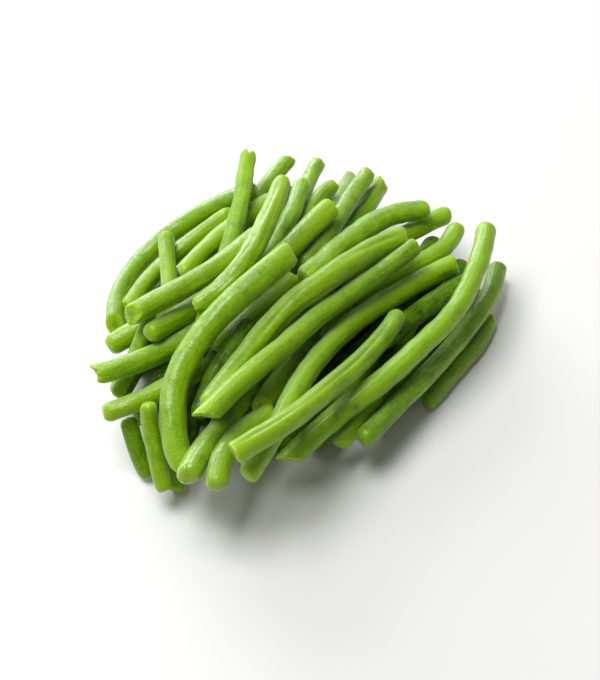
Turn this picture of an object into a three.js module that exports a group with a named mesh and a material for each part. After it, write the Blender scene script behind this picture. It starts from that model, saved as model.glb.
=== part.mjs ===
// A bunch of trimmed green beans lying in a heap on a table.
//
// Every bean is traced as a line of points over a picture of the heap, 600 wide and 680 high,
// and is then laid down along the sight lines of those points until it rests on the table or on
// the beans laid before it. A bean is a springy rod: it droops a little between the places that
// carry it. At the end the beans that lap are eased apart. Hidden beans are laid first, in rows.
// Lengths are in millimetres and +Z is up.

import * as THREE from "three";

// The eye that the traced points are seen from.
const PICTURE_MIDDLE = [300, 340];
const EYE_FOCAL = 1813;
const EYE_DISTANCE = 580;
const EYE_ELEVATION = THREE.MathUtils.degToRad(50);
const AIM_HEIGHT = 16;

// A bean on the heap slopes, so it is longer than its trace would be flat on the table.
const SLOPE_ALLOWANCE = 1.15;

// How the beans meet each other and the table.
const CLEARANCE = 0.4;
const TABLE_SINK = 0.12;
const SAMPLE_STEP = 1.7;

// Beans whose outlines lap by less than this share lie side by side, and not one on the other.
const BESIDE = 0.75;

// The last easing apart of beans that touch.
const EASE_ROUNDS = 120;
const EASE_SHARE = 0.3;
const EASE_SPREAD = 5;
const EASE_CELL = 10;

// How stiff a bean is. A bean on two rests this to the power of a quarter apart, in millimetres,
// droops about as far between them as its weight can pull it. Strides go from coarse to fine.
const STIFFNESS = 30000;
const DRAPE_STRIDES = [8, 4, 2, 1];
const DRAPE_SWEEPS = 400;

// The shape of one bean.
const SIDES = 8;
const RING_STEP = 9;
const OVAL = 0.035;
const SEED_PITCH = 9.5;
const SEED_SWELL = 0.05;
const SMOOTHING_PASSES = 10;
const CURVE_DIVISIONS = 600;
const SKIN_COLOUR = new THREE.Color(0.2, 0.42, 0.05);
const SKIN_ROUGHNESS = 0.45;

// The rings that close an end, from its tip inwards: how far in each stands and how wide it is,
// both in radii. A "cut" end is trimmed flat and a "round" one is closed. Full rings start
// after END_CLEAR radii.
const END_RINGS = {
  cut: [{ inset: 0, share: 0.86 }, { inset: 0.22, share: 1 }],
  round: [{ inset: 0.16, share: 0.5 }, { inset: 0.62, share: 0.88 }],
};
const END_CLEAR = 1.5;

// The hidden beans under the heap, laid straight down before the traced ones in two layers of
// rows. They keep inside BED_OUTLINE, an outline of the heap in the picture. Pairs of numbers
// are the limits of a seeded draw.
const BED_SEED = 11;
const BED_HEADING = THREE.MathUtils.degToRad(46);
const BED_MIDDLE = [0, 12];
const BED_LONGEST = 104;
const BED_SHORTEST = 34;
const BED_SHARE_OF_LONGEST = [0.9, 1];
const BED_ENDS_CLEAR = [2, 9];
const BED_SWING = [-0.04, 0.04];
const BED_BOW = [-2.5, 2.5];
const BED_RADIUS = [3.7, 4.2];
const BED_TAPER = 0.1;
const BED_LAYERS = [
  { name: "bed_low", rows: 11, pitch: 9.5, turn: 0, height: 4 },
  { name: "bed_high", rows: 7, pitch: 12.5, turn: 0.3, height: 12 },
];
const BED_OUTLINE = [
  [122, 335], [150, 270], [200, 228], [250, 196], [300, 186], [370, 192], [440, 232], [480, 262],
  [484, 292], [472, 322], [440, 365], [400, 402], [350, 430], [300, 448], [250, 462], [210, 470],
  [165, 468], [130, 448], [112, 400],
];

// The beans that show, from the first laid to the last: each bean's name, its width in the
// picture at its first and last point, its first and last end, how strongly its seeds show, and
// its points in the picture.
const TRACED = [
  {
    name: "deep_left_low",
    wide: [18, 18], ends: ["round", "round"], knobs: 0.2,
    points: [[128, 417], [132, 436], [139, 456], [149, 475]],
  },
  {
    name: "deep_left_gap",
    wide: [20, 20], ends: ["round", "round"], knobs: 0.2,
    points: [[186, 450], [190, 425], [197, 400], [208, 372], [222, 348]],
  },
  {
    name: "deep_right_gap",
    wide: [22, 22], ends: ["round", "round"], knobs: 0.2,
    points: [[470, 280], [455, 288], [440, 298], [420, 312], [400, 327], [380, 343]],
  },
  {
    name: "back_cut_top",
    wide: [16, 17], ends: ["cut", "round"], knobs: 0.1,
    points: [[318, 163], [311, 175], [305, 189], [299, 205], [292, 222]],
  },
  {
    name: "back_short",
    wide: [14, 17], ends: ["round", "round"], knobs: 0.1,
    points: [[351, 176], [343, 190], [335, 203], [326, 216]],
  },
  {
    name: "back_curled",
    wide: [16, 19], ends: ["round", "round"], knobs: 0.3,
    points: [[335, 185], [320, 200], [308, 215], [298, 232], [291, 250]],
  },
  {
    name: "back_left_slant",
    wide: [17, 18], ends: ["round", "round"], knobs: 0.2,
    points: [[290, 159], [282, 168], [272, 178], [264, 188], [257, 199], [250, 212], [243, 226]],
  },
  {
    name: "left_rim_long",
    wide: [20, 18], ends: ["cut", "round"], knobs: 0.3,
    points: [[115, 325], [117, 300], [122, 285], [135, 268], [150, 251], [165, 238], [180, 227],
      [200, 214], [220, 204], [238, 196], [256, 189]],
  },
  {
    name: "left_rim_pale",
    wide: [19, 18], ends: ["cut", "round"], knobs: 0.2,
    points: [[128, 308], [142, 288], [155, 272], [175, 255], [195, 239], [215, 225], [234, 213]],
  },
  {
    name: "left_short_upright",
    wide: [16, 18], ends: ["cut", "round"], knobs: 0.1,
    points: [[166, 236], [167, 250], [168, 268], [170, 285], [171, 305], [171, 326]],
  },
  {
    name: "left_second",
    wide: [20, 19], ends: ["round", "round"], knobs: 0.3,
    points: [[181, 275], [200, 255], [220, 236], [240, 220], [260, 207], [277, 198]],
  },
  {
    name: "left_low_inner",
    wide: [22, 22], ends: ["round", "round"], knobs: 0.2,
    points: [[108, 348], [125, 337], [142, 327], [160, 316], [178, 303]],
  },
  {
    name: "left_low_cross",
    wide: [15, 17], ends: ["round", "round"], knobs: 0.1,
    points: [[150, 310], [147, 323], [138, 348], [128, 372], [115, 395]],
  },
  {
    name: "left_under",
    wide: [20, 21], ends: ["round", "round"], knobs: 0.3,
    points: [[148, 335], [170, 322], [190, 311], [210, 300], [228, 289]],
  },
  {
    name: "back_middle",
    wide: [16, 20], ends: ["round", "round"], knobs: 0.2,
    points: [[303, 180], [298, 199], [291, 217], [282, 234], [272, 251], [261, 267]],
  },
  {
    name: "back_right_short",
    wide: [19, 20], ends: ["cut", "round"], knobs: 0.3,
    points: [[381, 184], [372, 198], [363, 209], [353, 220], [343, 231], [331, 243]],
  },
  {
    name: "back_long",
    wide: [17, 21], ends: ["round", "round"], knobs: 0.4,
    points: [[369, 172], [361, 183], [354, 194], [346, 206], [338, 219], [329, 233], [319, 246],
      [309, 257], [299, 268]],
  },
  {
    name: "middle_cut_bright",
    wide: [22, 21], ends: ["cut", "round"], knobs: 0.2,
    points: [[332, 207], [319, 219], [306, 232], [295, 244], [283, 258], [271, 272]],
  },
  {
    name: "back_torn_upright",
    wide: [15, 20], ends: ["cut", "round"], knobs: 0.1,
    points: [[248, 155], [246, 170], [244, 188], [240, 207], [236, 226], [231, 244], [226, 260]],
  },
  {
    name: "left_upper_cross",
    wide: [22, 22], ends: ["cut", "round"], knobs: 0.3,
    points: [[131, 315], [150, 305], [175, 292], [200, 278], [222, 264], [242, 249], [262, 233]],
  },
  {
    name: "left_low_notched",
    wide: [21, 22], ends: ["cut", "round"], knobs: 0.3,
    points: [[96, 374], [116, 370], [135, 363], [155, 355], [175, 346], [193, 335], [210, 321]],
  },
  {
    name: "left_low_pale",
    wide: [20, 21], ends: ["round", "round"], knobs: 0.2,
    points: [[103, 414], [120, 409], [137, 403], [155, 394], [173, 384], [192, 374], [212, 364]],
  },
  {
    name: "middle_left_cut",
    wide: [21, 22], ends: ["cut", "round"], knobs: 0.2,
    points: [[296, 272], [284, 286], [272, 299], [259, 311], [245, 323], [229, 335], [213, 347]],
  },
  {
    name: "back_long_ragged",
    wide: [18, 24], ends: ["round", "cut"], knobs: 0.2,
    points: [[283, 180], [278, 195], [272, 210], [266, 224], [258, 240], [249, 256], [238, 272],
      [225, 286], [211, 298], [196, 309]],
  },
  {
    name: "right_upper_short",
    wide: [19, 20], ends: ["round", "round"], knobs: 0.3,
    points: [[450, 214], [436, 219], [421, 227], [406, 234], [391, 241], [376, 248]],
  },
  {
    name: "back_wavy",
    wide: [19, 23], ends: ["round", "round"], knobs: 0.9,
    points: [[429, 209], [412, 211], [396, 214], [381, 219], [367, 227], [355, 235], [344, 244],
      [334, 252], [325, 261], [314, 271], [303, 281]],
  },
  {
    name: "right_curved",
    wide: [19, 21], ends: ["round", "round"], knobs: 0.3,
    points: [[457, 226], [453, 238], [446, 247], [436, 254], [425, 260], [412, 267], [400, 273],
      [385, 281], [370, 290], [354, 300]],
  },
  {
    name: "middle_dark",
    wide: [21, 21], ends: ["round", "round"], knobs: 0.2,
    points: [[252, 322], [240, 338], [228, 356], [216, 375], [207, 396], [202, 418]],
  },
  {
    name: "front_dark_inner",
    wide: [20, 20], ends: ["round", "round"], knobs: 0.2,
    points: [[378, 392], [367, 406], [357, 420], [348, 434], [338, 446]],
  },
  {
    name: "right_dark_outer",
    wide: [21, 20], ends: ["round", "round"], knobs: 0.2,
    points: [[489, 318], [480, 334], [470, 349], [459, 363], [448, 377], [437, 391], [425, 404]],
  },
  {
    name: "right_long_shaded",
    wide: [19, 22], ends: ["round", "round"], knobs: 0.5,
    points: [[498, 264], [495, 282], [489, 297], [480, 311], [470, 325], [460, 338], [450, 350],
      [438, 362], [427, 375], [415, 388], [402, 400], [390, 412], [376, 427], [361, 441]],
  },
  {
    name: "lower_left_dark",
    wide: [18, 18], ends: ["round", "round"], knobs: 0.1,
    points: [[160, 412], [163, 434], [168, 455], [173, 475], [178, 492]],
  },
  {
    name: "lower_left_upright",
    wide: [17, 18], ends: ["round", "round"], knobs: 0.2,
    points: [[152, 402], [152, 420], [153, 437], [156, 455], [160, 473], [165, 491]],
  },
  {
    name: "front_left_hook",
    wide: [24, 26], ends: ["cut", "round"], knobs: 0.3,
    points: [[290, 252], [270, 270], [250, 286], [232, 302], [215, 319], [200, 337], [187, 358],
      [177, 379], [171, 400], [170, 420], [173, 440], [179, 456], [188, 470]],
  },
  {
    name: "lower_left_speckled",
    wide: [25, 24], ends: ["round", "round"], knobs: 0.2,
    points: [[187, 478], [193, 467], [199, 457], [206, 447], [213, 436], [219, 426], [228, 413],
      [240, 399], [254, 386]],
  },
  {
    name: "middle_long_grooved",
    wide: [25, 23], ends: ["cut", "round"], knobs: 0.5,
    points: [[405, 238], [390, 243], [375, 250], [360, 259], [345, 267], [330, 276], [315, 286],
      [300, 297], [287, 309], [275, 321], [263, 334], [252, 348], [241, 362], [230, 376],
      [218, 391], [207, 409]],
  },
  {
    name: "middle_round_end",
    wide: [20, 21], ends: ["round", "round"], knobs: 0.2,
    points: [[260, 407], [270, 391], [281, 376], [293, 361], [305, 347], [317, 334]],
  },
  {
    name: "middle_long_bright",
    wide: [23, 18], ends: ["cut", "cut"], knobs: 0.4,
    points: [[206, 416], [220, 401], [235, 387], [251, 373], [268, 359], [285, 345], [300, 332],
      [315, 319], [330, 307], [345, 297], [358, 288], [372, 278], [386, 268], [401, 257],
      [416, 245]],
  },
  {
    name: "front_hooked_end",
    wide: [23, 23], ends: ["round", "round"], knobs: 0.4,
    points: [[216, 488], [217, 475], [219, 462], [224, 451], [231, 442], [239, 434], [248, 427],
      [260, 420], [275, 411]],
  },
  {
    name: "right_long_upper",
    wide: [22, 23], ends: ["cut", "round"], knobs: 0.6,
    points: [[457, 264], [440, 271], [425, 278], [410, 286], [395, 295], [380, 304], [365, 314],
      [352, 323], [341, 333], [330, 344], [320, 355], [311, 367], [303, 379], [295, 391],
      [288, 404], [280, 421], [268, 444], [256, 462], [247, 478]],
  },
  {
    name: "front_knobbly",
    wide: [24, 18], ends: ["cut", "round"], knobs: 1,
    points: [[234, 454], [250, 444], [265, 435], [280, 426], [295, 416], [310, 405], [323, 393],
      [337, 381], [350, 371], [362, 360], [373, 349], [383, 338], [392, 326], [399, 314]],
  },
  {
    name: "front_long",
    wide: [24, 20], ends: ["cut", "round"], knobs: 0.5,
    points: [[288, 460], [305, 443], [320, 430], [335, 417], [350, 405], [366, 393], [382, 381],
      [395, 370], [408, 358], [421, 346], [433, 335], [445, 323], [455, 311], [464, 297],
      [471, 283], [477, 268], [482, 252], [485, 239], [487, 226]],
  },
];

// A seeded draw between two limits, so the hidden beans are the same every time.
const DRAW_FACTOR = 1664525;
const DRAW_STEP = 1013904223;
const DRAW_RANGE = 2 ** 32;
let drawState = BED_SEED;
function drawBetween([low, high]) {
  drawState = (drawState * DRAW_FACTOR + DRAW_STEP) % DRAW_RANGE;
  return low + (high - low) * (drawState / DRAW_RANGE);
}

const EYE = new THREE.Vector3(
  0,
  -EYE_DISTANCE * Math.cos(EYE_ELEVATION),
  AIM_HEIGHT + EYE_DISTANCE * Math.sin(EYE_ELEVATION),
);
const EYE_FORWARD = new THREE.Vector3(0, Math.cos(EYE_ELEVATION), -Math.sin(EYE_ELEVATION));
const EYE_UP = new THREE.Vector3(0, Math.sin(EYE_ELEVATION), Math.cos(EYE_ELEVATION));
const EYE_RIGHT = new THREE.Vector3(1, 0, 0);

// The sight line from the eye through one point of the picture.
function sightLine(x, y) {
  const way = EYE_FORWARD.clone().multiplyScalar(EYE_FOCAL);
  way.addScaledVector(EYE_RIGHT, x - PICTURE_MIDDLE[0]);
  way.addScaledVector(EYE_UP, PICTURE_MIDDLE[1] - y);
  return { from: EYE, way: way.normalize() };
}

// A vertical line down onto one point of the table.
function plumbLine(x, y) {
  return { from: new THREE.Vector3(x, y, EYE_DISTANCE), way: new THREE.Vector3(0, 0, -1) };
}

// Millimetres per picture unit on the table, for one sight line.
function sightScale(line) {
  const reach = (AIM_HEIGHT - line.from.z) / line.way.z;
  return (reach * line.way.dot(EYE_FORWARD)) / EYE_FOCAL;
}

// A smooth curve through points, given back at even steps.
function evenPoints(points, count) {
  const curve = new THREE.CatmullRomCurve3(points, false, "centripetal");
  curve.arcLengthDivisions = CURVE_DIVISIONS;
  return curve.getSpacedPoints(count);
}

// How much thicker a bean is at one place than its plain width, from its seeds.
function seedSwell(distance, knobs) {
  return 1 + SEED_SWELL * knobs * Math.cos((2 * Math.PI * distance) / SEED_PITCH);
}

const laid = [];

// How far down its line a ball may go before it meets the table or a bean already laid.
function reachOf(line, radius) {
  let reach = ((1 - TABLE_SINK) * radius - line.from.z) / line.way.z;
  for (const ball of laid) {
    const away = ball.at.clone().sub(line.from);
    const along = away.dot(line.way);
    const apart = radius + ball.radius + CLEARANCE;
    const aside = away.lengthSq() - along * along;
    if (aside < (BESIDE * apart) ** 2) {
      reach = Math.min(reach, along - Math.sqrt(apart * apart - aside));
    }
  }
  return reach;
}

// The lifts at which a heavy, springy rod comes to rest on its lowest allowed lifts. Worked
// coarse to fine: each sweep moves every sample to where its own share of the rod's weight and
// bending balance.
function drape(low) {
  const count = low.length;
  let lifts = low.map(() => Math.max(...low));
  for (const stride of DRAPE_STRIDES) {
    const places = [];
    for (let i = 0; i < count; i += stride) {
      places.push(i);
    }
    const last = places.length - 1;
    const near = (i) => low.slice(Math.max(0, i - stride + 1), i + stride);
    const floor = places.map((i) => Math.max(...near(i)));
    const bend = STIFFNESS / (stride * SAMPLE_STEP) ** 4;
    const h = places.map((i, k) => Math.max(floor[k], lifts[i]));
    for (let sweep = 0; sweep < DRAPE_SWEEPS; sweep += 1) {
      for (let k = 0; k <= last; k += 1) {
        let pull = 1;
        let firm = 0;
        for (const [j, share] of [[k - 1, 1], [k, -2], [k + 1, 1]]) {
          if (j > 0 && j < last) {
            pull += share * bend * (h[j - 1] - 2 * h[j] + h[j + 1]);
            firm += share * share * bend;
          }
        }
        h[k] = Math.max(floor[k], h[k] - pull / firm);
      }
    }
    lifts = low.map((_, i) => {
      const place = i / stride;
      const before = Math.min(last, Math.floor(place));
      const after = Math.min(last, before + 1);
      return THREE.MathUtils.lerp(h[before], h[after], place - before);
    });
  }
  return lifts;
}

// Even out the small steps of a hand-drawn line, keeping its ends.
function smoothed(points) {
  let now = points;
  for (let pass = 0; pass < SMOOTHING_PASSES; pass += 1) {
    now = now.map((p, i) => {
      if (i === 0 || i === now.length - 1) {
        return p;
      }
      const between = now[i - 1].clone().add(now[i + 1]).multiplyScalar(0.5);
      return p.clone().lerp(between, 0.5);
    });
  }
  return now;
}

// Lay one bean down its lines and keep its balls for the beans that come after.
function layBean({ name, lines, radii, ends }) {
  const tableReach = lines.map(
    (line, i) => ((1 - TABLE_SINK) * radii[i] - line.from.z) / line.way.z,
  );
  const lifts = drape(lines.map((line, i) => tableReach[i] - reachOf(line, radii[i])));
  const path = lines.map(
    (line, i) => line.from.clone().addScaledVector(line.way, tableReach[i] - lifts[i]),
  );
  for (let i = 1; i < path.length - 1; i += 1) {
    laid.push({ at: path[i], radius: radii[i] });
  }
  return { name, path, radii, ends };
}

// An even count of steps that every drape stride divides.
function stepCount(length) {
  return DRAPE_STRIDES[0] * Math.max(1, Math.round(length / SAMPLE_STEP / DRAPE_STRIDES[0]));
}

// Lines and radii for a traced bean.
function traceBean({ name, wide, ends, knobs, points }) {
  const flat = points.map(([x, y]) => new THREE.Vector3(x, y, 0));
  const curve = new THREE.CatmullRomCurve3(flat, false, "centripetal");
  const scale = sightScale(sightLine(points[0][0], points[0][1]));
  const count = stepCount(curve.getLength() * scale * SLOPE_ALLOWANCE);
  const lines = smoothed(evenPoints(flat, count)).map((p) => sightLine(p.x, p.y));
  const radii = lines.map((line, i) => {
    const width = THREE.MathUtils.lerp(wide[0], wide[1], i / count);
    return 0.5 * width * sightScale(line) * seedSwell(i * SAMPLE_STEP, knobs);
  });
  return layBean({ name, lines, radii, ends });
}

// Lines and radii for a hidden bean: the middle on the table, a heading, a length and a bow.
function bedBean(name, x, y, heading, length, bow) {
  const count = stepCount(length);
  const radius = drawBetween(BED_RADIUS);
  const lines = [];
  const radii = [];
  for (let i = 0; i <= count; i += 1) {
    const s = (2 * i) / count - 1;
    const along = (s * length) / 2;
    const aside = bow * (1 - s * s);
    lines.push(plumbLine(
      x + along * Math.cos(heading) - aside * Math.sin(heading),
      y + along * Math.sin(heading) + aside * Math.cos(heading),
    ));
    radii.push(radius * (1 - BED_TAPER * s * s));
  }
  return layBean({ name, lines, radii, ends: ["round", "round"] });
}

// Whether a point over the table shows inside the heap's outline in the picture.
function insideHeap(x, y, z) {
  const away = new THREE.Vector3(x, y, z).sub(EYE);
  const scale = EYE_FOCAL / away.dot(EYE_FORWARD);
  const u = PICTURE_MIDDLE[0] + scale * away.dot(EYE_RIGHT);
  const v = PICTURE_MIDDLE[1] - scale * away.dot(EYE_UP);
  let inside = false;
  BED_OUTLINE.forEach(([x1, y1], i) => {
    const [x0, y0] = BED_OUTLINE.at(i - 1);
    if (y0 > v !== y1 > v && u < x0 + ((x1 - x0) * (v - y0)) / (y1 - y0)) {
      inside = !inside;
    }
  });
  return inside;
}

// The hidden beans: rows side by side, and a second layer a little across the first. Each row
// is as long as the heap is there, in one bean.
function layBed() {
  const beans = [];
  for (const layer of BED_LAYERS) {
    const heading = BED_HEADING + layer.turn;
    const ahead = [Math.cos(heading), Math.sin(heading)];
    for (let k = 0; k < layer.rows; k += 1) {
      const aside = (k - (layer.rows - 1) / 2) * layer.pitch;
      const x = BED_MIDDLE[0] - aside * ahead[1];
      const y = BED_MIDDLE[1] + aside * ahead[0];
      const open = [];
      for (let along = -BED_LONGEST; along <= BED_LONGEST; along += 1) {
        if (insideHeap(x + along * ahead[0], y + along * ahead[1], layer.height)) {
          open.push(along);
        }
      }
      const clear = open.length - drawBetween(BED_ENDS_CLEAR);
      const length = Math.min(BED_LONGEST * drawBetween(BED_SHARE_OF_LONGEST), clear);
      const along = (open[0] + open.at(-1)) / 2;
      if (length > BED_SHORTEST) {
        beans.push(bedBean(
          `${layer.name}_${k + 1}`,
          x + along * ahead[0],
          y + along * ahead[1],
          heading + drawBetween(BED_SWING),
          length,
          drawBetween(BED_BOW),
        ));
      }
    }
  }
  return beans;
}

// Every ball of every bean, sorted into cells of space.
function ballsByCell(beans) {
  const cells = new Map();
  beans.forEach((bean, owner) => {
    bean.path.forEach((at, i) => {
      const key = [at.x, at.y, at.z].map((v) => Math.floor(v / EASE_CELL)).join();
      if (!cells.has(key)) {
        cells.set(key, []);
      }
      cells.get(key).push({ at, owner, i, radius: bean.radii[i] });
    });
  });
  return cells;
}

// The balls in a cell and in all the cells round it.
function ballsNear(cells, key) {
  const [x, y, z] = key.split(",").map(Number);
  const near = [];
  for (const dx of [-1, 0, 1]) {
    for (const dy of [-1, 0, 1]) {
      for (const dz of [-1, 0, 1]) {
        near.push(...(cells.get([x + dx, y + dy, z + dz].join()) ?? []));
      }
    }
  }
  return near;
}

// Push apart the beans that lap, a little at a time. Each push is spread along its bean, so
// that the bean keeps its smooth shape.
function easeApart(beans) {
  for (let round = 0; round < EASE_ROUNDS; round += 1) {
    const pushes = beans.map((bean) => bean.path.map(() => new THREE.Vector3()));
    const cells = ballsByCell(beans);
    for (const [key, balls] of cells) {
      const near = ballsNear(cells, key);
      for (const ball of balls) {
        for (const other of near) {
          const apart = ball.radius + other.radius + CLEARANCE;
          const gap = ball.at.distanceTo(other.at);
          if (other.owner !== ball.owner && gap < apart) {
            const away = ball.at.clone().sub(other.at).normalize();
            const push = EASE_SHARE * (apart - gap);
            pushes[ball.owner][ball.i].addScaledVector(away, push);
          }
        }
      }
    }
    beans.forEach((bean, owner) => {
      const spread = bean.path.map((_, i) => {
        const total = new THREE.Vector3();
        let weight = 0;
        for (let k = i - EASE_SPREAD; k <= i + EASE_SPREAD; k += 1) {
          const share = 1 - Math.abs(k - i) / (EASE_SPREAD + 1);
          weight += share;
          total.addScaledVector(pushes[owner][k] ?? new THREE.Vector3(), share);
        }
        return total.divideScalar(weight);
      });
      bean.path.forEach((at, i) => {
        at.add(spread[i]);
        at.z = Math.max(at.z, (1 - TABLE_SINK) * bean.radii[i]);
      });
    });
  }
}

// The rings of a bean: how far along it each stands and its share of the full radius.
function ringStations(length, radius, ends) {
  const stations = END_RINGS[ends[0]].map(({ inset, share }) => ({ at: inset * radius, share }));
  const clear = END_CLEAR * radius;
  const inner = length - 2 * clear;
  const count = Math.max(2, Math.round(inner / RING_STEP));
  for (let k = 0; k <= count; k += 1) {
    stations.push({ at: clear + (inner * k) / count, share: 1 });
  }
  for (const { inset, share } of [...END_RINGS[ends[1]]].reverse()) {
    stations.push({ at: length - inset * radius, share });
  }
  return stations;
}

// One closed solid round a bean's path. Every ring has one flat side down, so a bean on the
// table rests on a flat spot where its underside is pressed level.
function beanSolid(bean) {
  const curve = new THREE.CatmullRomCurve3(bean.path, false, "centripetal");
  curve.arcLengthDivisions = CURVE_DIVISIONS;
  const length = curve.getLength();
  const middle = bean.radii[Math.floor(bean.radii.length / 2)];
  const stations = ringStations(length, middle, bean.ends);
  const up = new THREE.Vector3(0, 0, 1);
  const vertices = [];
  const put = (p) => {
    vertices.push(p.x, p.y, Math.max(0, p.z));
  };
  put(curve.getPointAt(0));
  for (const { at, share } of stations) {
    const u = at / length;
    const centre = curve.getPointAt(u);
    const tangent = curve.getTangentAt(u);
    const across = new THREE.Vector3().crossVectors(up, tangent).normalize();
    const over = new THREE.Vector3().crossVectors(tangent, across).normalize();
    const place = u * (bean.radii.length - 1);
    const before = Math.floor(place);
    const after = Math.min(bean.radii.length - 1, before + 1);
    const full = THREE.MathUtils.lerp(bean.radii[before], bean.radii[after], place - before);
    for (let k = 0; k < SIDES; k += 1) {
      const angle = ((k + 0.5) * 2 * Math.PI) / SIDES;
      const reach = full * share * (1 + OVAL * Math.cos(2 * angle));
      const p = centre.clone();
      p.addScaledVector(across, reach * Math.cos(angle));
      p.addScaledVector(over, reach * Math.sin(angle));
      put(p);
    }
  }
  put(curve.getPointAt(1));
  const faces = [];
  const rings = stations.length;
  const lastVertex = 1 + rings * SIDES;
  for (let k = 0; k < SIDES; k += 1) {
    const next = (k + 1) % SIDES;
    faces.push(0, 1 + next, 1 + k);
    for (let r = 0; r < rings - 1; r += 1) {
      const low = 1 + r * SIDES;
      const high = low + SIDES;
      faces.push(low + k, low + next, high + next);
      faces.push(low + k, high + next, high + k);
    }
    const top = 1 + (rings - 1) * SIDES;
    faces.push(lastVertex, top + k, top + next);
  }
  const geometry = new THREE.BufferGeometry();
  geometry.setAttribute("position", new THREE.Float32BufferAttribute(vertices, 3));
  geometry.setIndex(faces);
  geometry.computeVertexNormals();
  return geometry;
}

const beans = [...layBed(), ...TRACED.map(traceBean)];
easeApart(beans);

const heap = new THREE.Group();
heap.name = "green_bean_bunch";
for (const bean of beans) {
  const skin = new THREE.MeshStandardMaterial({ color: SKIN_COLOUR, roughness: SKIN_ROUGHNESS });
  const mesh = new THREE.Mesh(beanSolid(bean), skin);
  mesh.name = bean.name;
  heap.add(mesh);
}

// The middle of the heap's base is the origin.
const middle = new THREE.Box3().setFromObject(heap, true).getCenter(new THREE.Vector3());
for (const mesh of heap.children) {
  mesh.geometry.translate(-middle.x, -middle.y, 0);
}

export default heap;
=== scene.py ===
# %% [markdown]
# A heap of trimmed green beans
#
# This lesson dresses a measured model of a heap of cooked green beans. The model already holds
# every bean at its real size and place, but as a plain eight-sided solid. A bean could be shown
# by smoothing that solid, but its trimmed ends, its seam and the bulges of its seeds would still
# be missing. So each bean is made anew here, along the same line and with the same thickness.

# %% Load the measured beans
import math

import bmesh
import bpy
import numpy as np
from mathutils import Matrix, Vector


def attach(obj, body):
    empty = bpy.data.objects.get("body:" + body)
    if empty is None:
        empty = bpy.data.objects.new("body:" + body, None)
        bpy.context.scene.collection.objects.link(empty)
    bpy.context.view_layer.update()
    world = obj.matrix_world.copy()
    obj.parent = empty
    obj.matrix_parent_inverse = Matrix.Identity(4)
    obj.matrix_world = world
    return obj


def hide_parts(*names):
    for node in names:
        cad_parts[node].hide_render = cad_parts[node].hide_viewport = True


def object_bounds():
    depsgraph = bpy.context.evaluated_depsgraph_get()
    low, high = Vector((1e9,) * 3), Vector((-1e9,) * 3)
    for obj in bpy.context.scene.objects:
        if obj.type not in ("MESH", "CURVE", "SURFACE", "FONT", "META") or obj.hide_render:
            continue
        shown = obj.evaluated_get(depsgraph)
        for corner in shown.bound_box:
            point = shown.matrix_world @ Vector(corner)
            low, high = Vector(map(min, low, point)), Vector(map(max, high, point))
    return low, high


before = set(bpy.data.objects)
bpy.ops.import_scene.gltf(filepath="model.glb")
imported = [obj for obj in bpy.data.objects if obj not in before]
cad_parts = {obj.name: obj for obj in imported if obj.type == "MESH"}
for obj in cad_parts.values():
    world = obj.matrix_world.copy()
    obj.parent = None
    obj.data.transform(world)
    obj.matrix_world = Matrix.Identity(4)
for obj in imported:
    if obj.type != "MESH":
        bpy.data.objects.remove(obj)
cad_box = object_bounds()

names = sorted(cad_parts)
box_sides = [round((high - low) * 1000, 1) for low, high in zip(*cad_box)]
print(f"{len(names)} beans, in a box with sides of {box_sides} mm")

# %% [markdown]
# Reading a bean's rings
#
# A bean's solid is a row of eight-cornered rings with one point at each end. The corners could be
# sorted by how far along the bean they lie, but a bent bean has no one direction to sort by.
# Counting steps along the edges works for any bend. The triangles are loose, so a copy is merged
# first. The corners that are equally many steps from the near end point then form one ring.

# %% Read the rings of a solid
WELD_DISTANCE = 0.00002
END_POINT_NEIGHBOURS = 8


def read_rings(solid):
    """The rings of corners of a bean's solid, a list of arrays that starts at its near end."""
    merged = bmesh.new()
    merged.from_mesh(solid.data)
    bmesh.ops.remove_doubles(merged, verts=merged.verts, dist=WELD_DISTANCE)
    merged.verts.index_update()
    corners = np.array([corner.co[:] for corner in merged.verts])
    edges = np.array([[corner.index for corner in edge.verts] for edge in merged.edges])
    merged.free()
    linked = np.zeros((len(corners), len(corners)), bool)
    linked[edges[:, 0], edges[:, 1]] = True
    linked |= linked.T
    end_points = np.flatnonzero(linked.sum(axis=1) == END_POINT_NEIGHBOURS)
    steps = np.full(len(corners), -1)
    reached = np.zeros(len(corners), bool)
    reached[end_points[np.argmin(corners[end_points, 1])]] = True
    while reached.any():
        steps[reached] = steps.max() + 1
        reached = linked[reached].any(axis=0) & (steps < 0)
    return [corners[steps == step] for step in range(steps.max() + 1)]


print(f"{names[0]} has {len(read_rings(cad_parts[names[0]]))} rings, end points included")

# %% [markdown]
# From rings to a line and a thickness
#
# The middle of each ring is a point of the bean's line, and its size is the bean's thickness. The
# rings close to a tip are narrower, because the solid is rounded off there, so they are left out
# and the thickness beside them runs on to the tip. Where the first ring lies in one plane with
# the end point, the end was cut flat. Where it doesn't, the end is a closed dome.

# %% Turn the rings into a line, a thickness and two ends
RINGS_IN_AN_END = 3
FLAT_END_SHARE = 0.06


def read_bean(solid):
    """A bean's line, its thickness at each point of the line, and whether each end is cut flat."""
    rings = read_rings(solid)
    middles = np.array([ring.mean(axis=0) for ring in rings])
    reaches = np.array([np.linalg.norm(ring - ring.mean(axis=0), axis=1).mean() for ring in rings])
    body = slice(RINGS_IN_AN_END, -RINGS_IN_AN_END)
    line = np.vstack([middles[0], middles[body], middles[-1]])
    radii = np.concatenate([reaches[body][:1], reaches[body], reaches[body][-1:]])
    flat = FLAT_END_SHARE * radii[0]
    near_cut = np.linalg.norm(middles[0] - middles[1]) < flat
    far_cut = np.linalg.norm(middles[-1] - middles[-2]) < flat
    return {"line": line, "radii": radii, "cut": (near_cut, far_cut)}


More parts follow.
